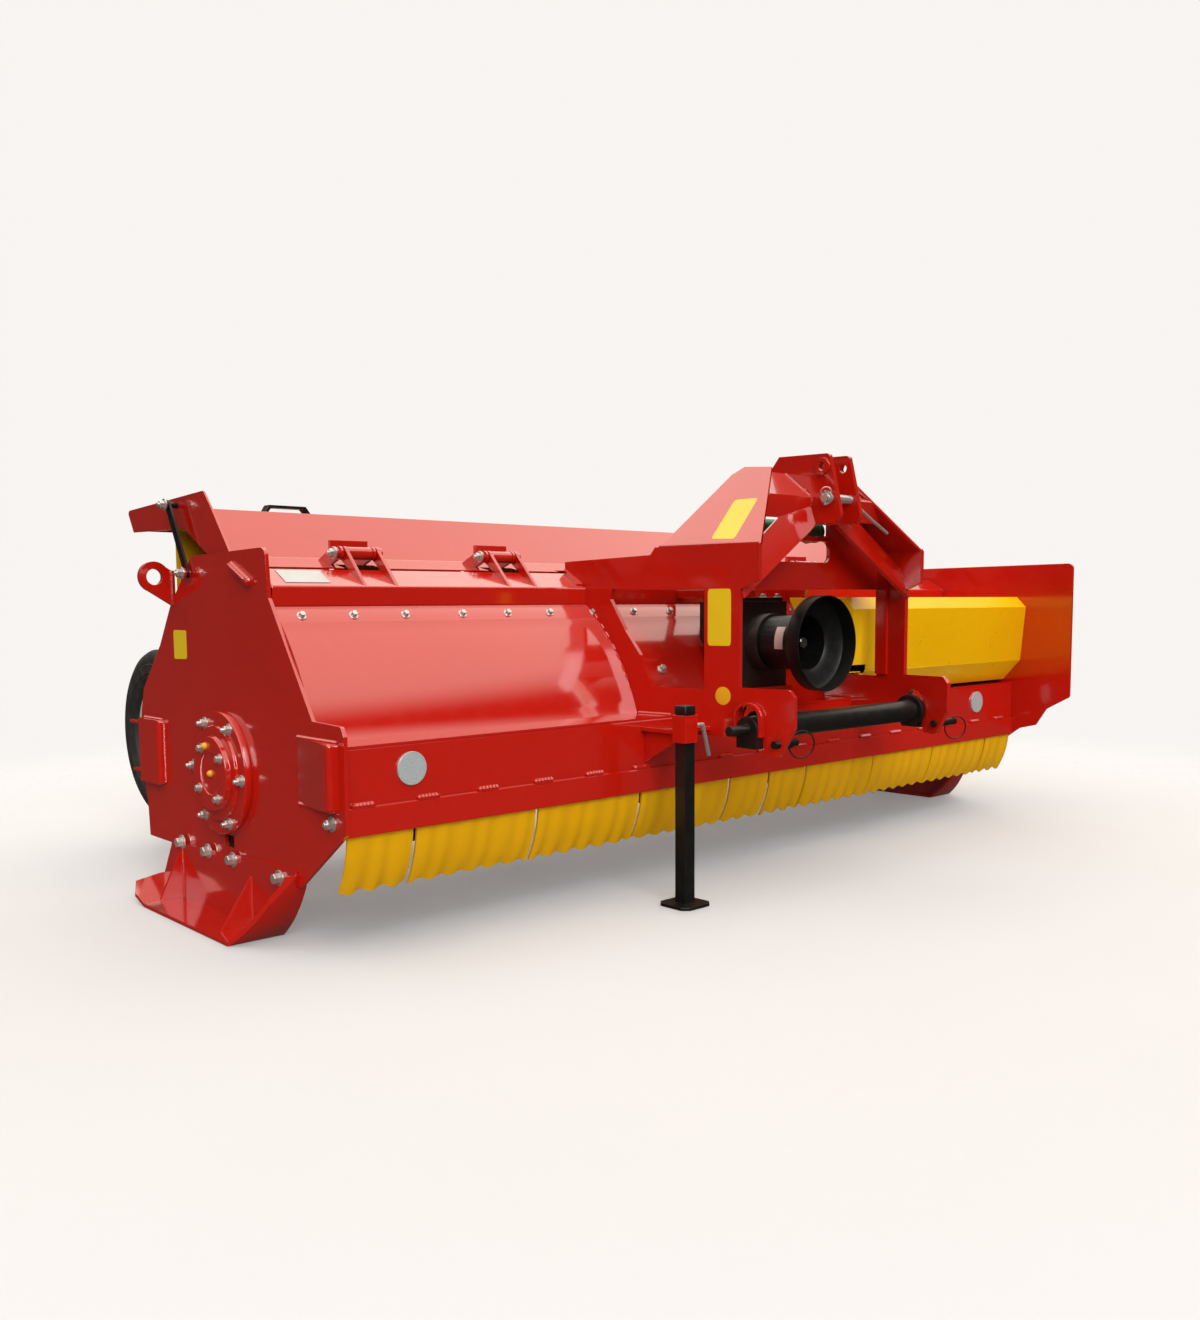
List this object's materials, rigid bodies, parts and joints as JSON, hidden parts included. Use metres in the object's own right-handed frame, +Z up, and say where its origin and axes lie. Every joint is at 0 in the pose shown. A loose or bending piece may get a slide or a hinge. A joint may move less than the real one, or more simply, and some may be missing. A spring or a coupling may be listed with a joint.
{
  "type": "tractor-mounted flail mulcher",
  "caption": "Wide red three-point-hitch flail mulcher with a belt-driven rotor, yellow front flaps, a hinged rear hood, skids, a parking leg and rear gauge wheels.",
  "frame": {"origin": "on the ground, in the middle of the whole machine's box", "axes": "+X along the working width to the belt-drive side, -Y forward to the tractor, +Z up"},
  "size_m": [3.264, 2.219, 1.254],
  "materials": {
    "red_paint": "glossy red paint",
    "yellow_paint": "glossy yellow paint",
    "yellow_rubber": "matt yellow rubberised fabric",
    "black_paint": "satin black paint",
    "black_plastic": "matt black plastic",
    "dark_cast": "dark painted casting",
    "bare_steel": "machined",
    "zinc_steel": "zinc plated",
    "bare_aluminium": "satin",
    "hammer_steel": "forged, bare",
    "rotor_paint": "satin red paint",
    "reflector": "clear prismatic",
    "tyre_rubber": "matt",
    "rim_paint": "satin pale grey paint"
  },
  "bodies": {
    "frame": {"side_plate_left": "red_paint", "side_plate_right": "red_paint", "lifting_lugs": "red_paint", "housing_sheet": "red_paint", "box_beam": "red_paint", "front_rail": "red_paint", "top_beam": "red_paint", "front_flaps": "yellow_rubber", "reflectors": "reflector", "nameplate": "bare_aluminium", "hitch_plate_left": "red_paint", "hitch_plate_right": "red_paint", "hitch_saddles": "red_paint", "lower_link_bar": "black_paint", "retaining_pins": "black_paint", "mast_sheet_left": "red_paint", "mast_sheet_right": "red_paint", "mast_head": "red_paint", "top_link_pin": "zinc_steel", "mast_braces": "red_paint", "mast_cross": "red_paint", "gearbox": "dark_cast", "gearbox_mount": "red_paint", "pto_shield": "black_plastic", "drive_tube": "dark_cast", "drive_cover": "yellow_paint", "belt_guard": "yellow_paint", "rotor_bearing_left": "red_paint", "rotor_bearing_right": "red_paint", "skid_left": "red_paint", "skid_right": "red_paint", "stand_sleeve": "red_paint", "stand_pin": "zinc_steel", "hinge_brackets": "red_paint", "rear_tube": "red_paint", "wheel_arm_left": "red_paint", "wheel_arm_right": "red_paint"},
    "rotor": {"rotor": "rotor_paint", "hammers": "hammer_steel"},
    "input_shaft": {"input_shaft": "bare_steel"},
    "hood": {"hood_sheet": "red_paint", "hood_end_left": "red_paint", "hood_end_right": "red_paint", "hood_ears": "red_paint", "hood_handle": "black_paint", "curtain_rod": "zinc_steel"},
    "curtain": {"rear_curtain": "yellow_rubber"},
    "stay_left": {"hood_stay_left": "black_paint"},
    "stay_right": {"hood_stay_right": "black_paint"},
    "stand": {"parking_leg": "black_paint"},
    "wheel_left": {"tyre_left": "tyre_rubber", "rim_left": "rim_paint"},
    "wheel_right": {"tyre_right": "tyre_rubber", "rim_right": "rim_paint"}
  },
  "joints": [
    {"name": "rotor_spin", "type": "hinge", "parent": "frame", "child": "rotor", "pos_m": [0, -0.1205, 0.39], "axis": [1, 0, 0], "continuous": true},
    {"name": "input_shaft_spin", "type": "hinge", "parent": "frame", "child": "input_shaft", "pos_m": [0, -0.7155, 0.702], "axis": [0, 1, 0], "continuous": true},
    {"name": "hood_hinge", "type": "hinge", "parent": "frame", "child": "hood", "pos_m": [0, -0.2905, 0.96], "axis": [1, 0, 0], "range_deg": [-30, 30]},
    {"name": "curtain_hang", "type": "hinge", "parent": "hood", "child": "curtain", "pos_m": [0, 0.2095, 1.046], "axis": [1, 0, 0], "range_deg": [-30, 30]},
    {"name": "stay_left_swing", "type": "hinge", "parent": "frame", "child": "stay_left", "pos_m": [-1.517, 0.0505, 0.912], "axis": [1, 0, 0], "range_deg": [0, 95]},
    {"name": "stay_right_swing", "type": "hinge", "parent": "frame", "child": "stay_right", "pos_m": [1.517, 0.0505, 0.912], "axis": [1, 0, 0], "range_deg": [0, 95]},
    {"name": "stand_slide", "type": "slide", "parent": "frame", "child": "stand", "axis": [0, 0, 1], "range_m": [0, 0.35]},
    {"name": "wheel_left_spin", "type": "hinge", "parent": "frame", "child": "wheel_left", "pos_m": [-1.225, 0.8245, 0.4], "axis": [1, 0, 0], "continuous": true},
    {"name": "wheel_right_spin", "type": "hinge", "parent": "frame", "child": "wheel_right", "pos_m": [1.225, 0.8245, 0.4], "axis": [1, 0, 0], "continuous": true}
  ],
  "couplings": [
    {"joint": "input_shaft_spin", "follows": "rotor_spin", "ratio": -0.5},
    {"joint": "curtain_hang", "follows": "hood_hinge", "ratio": -1}
  ]
}
